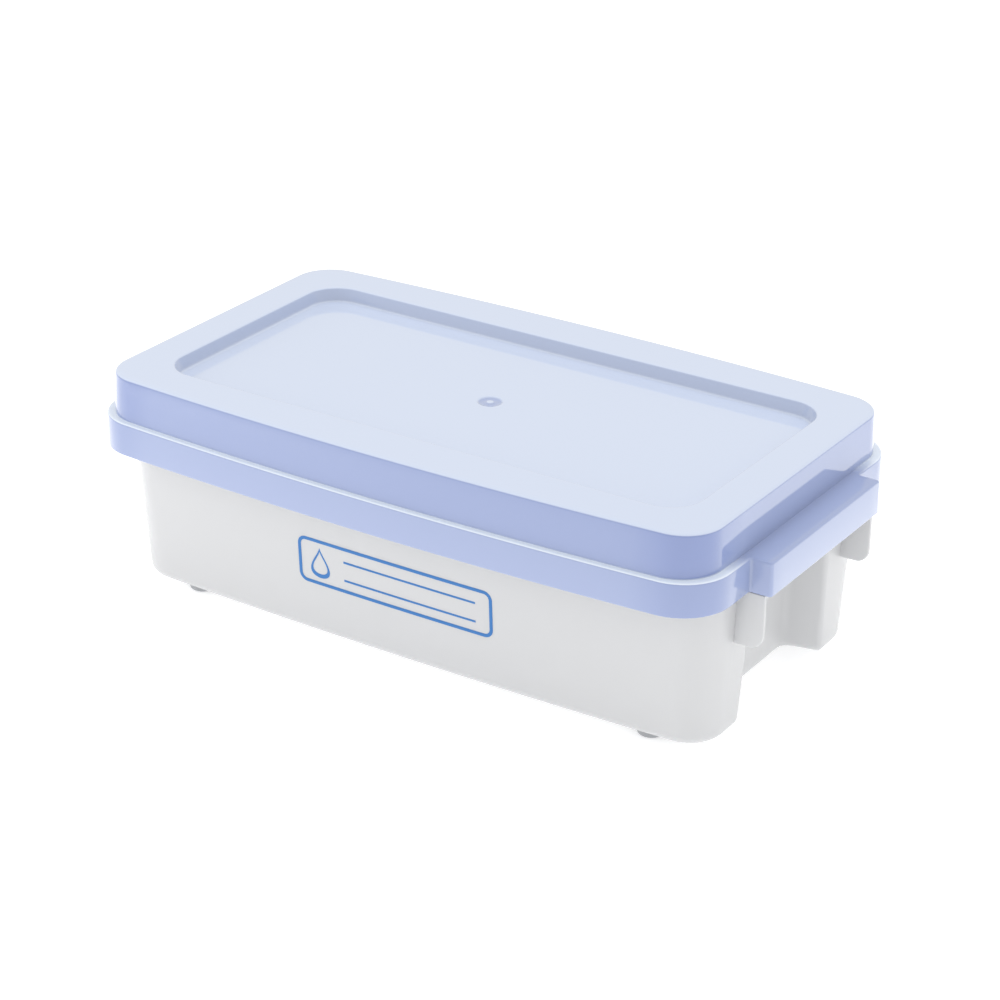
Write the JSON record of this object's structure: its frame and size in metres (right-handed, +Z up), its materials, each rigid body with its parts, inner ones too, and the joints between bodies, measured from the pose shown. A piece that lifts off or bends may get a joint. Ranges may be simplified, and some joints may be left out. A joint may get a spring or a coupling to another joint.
{
  "type": "lidded laboratory soaking box",
  "caption": "Shallow rectangular soaking box with an overhanging lift-off lid, end ears, perforated basket and press plate.",
  "frame": {"origin": "on the supporting surface, under the middle of the box", "axes": "+X along the box's length, +Y across it towards the back, +Z up"},
  "size_m": [0.274, 0.1514, 0.0884],
  "materials": {
    "tank_plastic": "translucent milky white, smooth moulded",
    "lid_plastic": "translucent pale blue, smooth moulded",
    "basket_plastic": "milky white, satin",
    "plate_plastic": "milky white, satin",
    "foot_rubber": "soft grey, matt"
  },
  "bodies": {
    "box": {"tank": "tank_plastic", "foot_front_left": "foot_rubber", "foot_front_right": "foot_rubber", "foot_back_left": "foot_rubber", "foot_back_right": "foot_rubber"},
    "cover": {"lid": "lid_plastic"},
    "basket": {"basket": "basket_plastic"},
    "press_plate": {"press_plate": "plate_plastic"}
  },
  "joints": [
    {"name": "lid_lift", "type": "slide", "parent": "box", "child": "cover", "axis": [0, 0, 1], "range_m": [0, 0.24]},
    {"name": "basket_lift", "type": "slide", "parent": "box", "child": "basket", "axis": [0, 0, 1], "range_m": [0, 0.08]},
    {"name": "plate_lift", "type": "slide", "parent": "box", "child": "press_plate", "axis": [0, 0, 1], "range_m": [0, 0.16]}
  ],
  "couplings": [
    {"joint": "basket_lift", "follows": "lid_lift", "ratio": 0.33333},
    {"joint": "plate_lift", "follows": "lid_lift", "ratio": 0.66667}
  ]
}
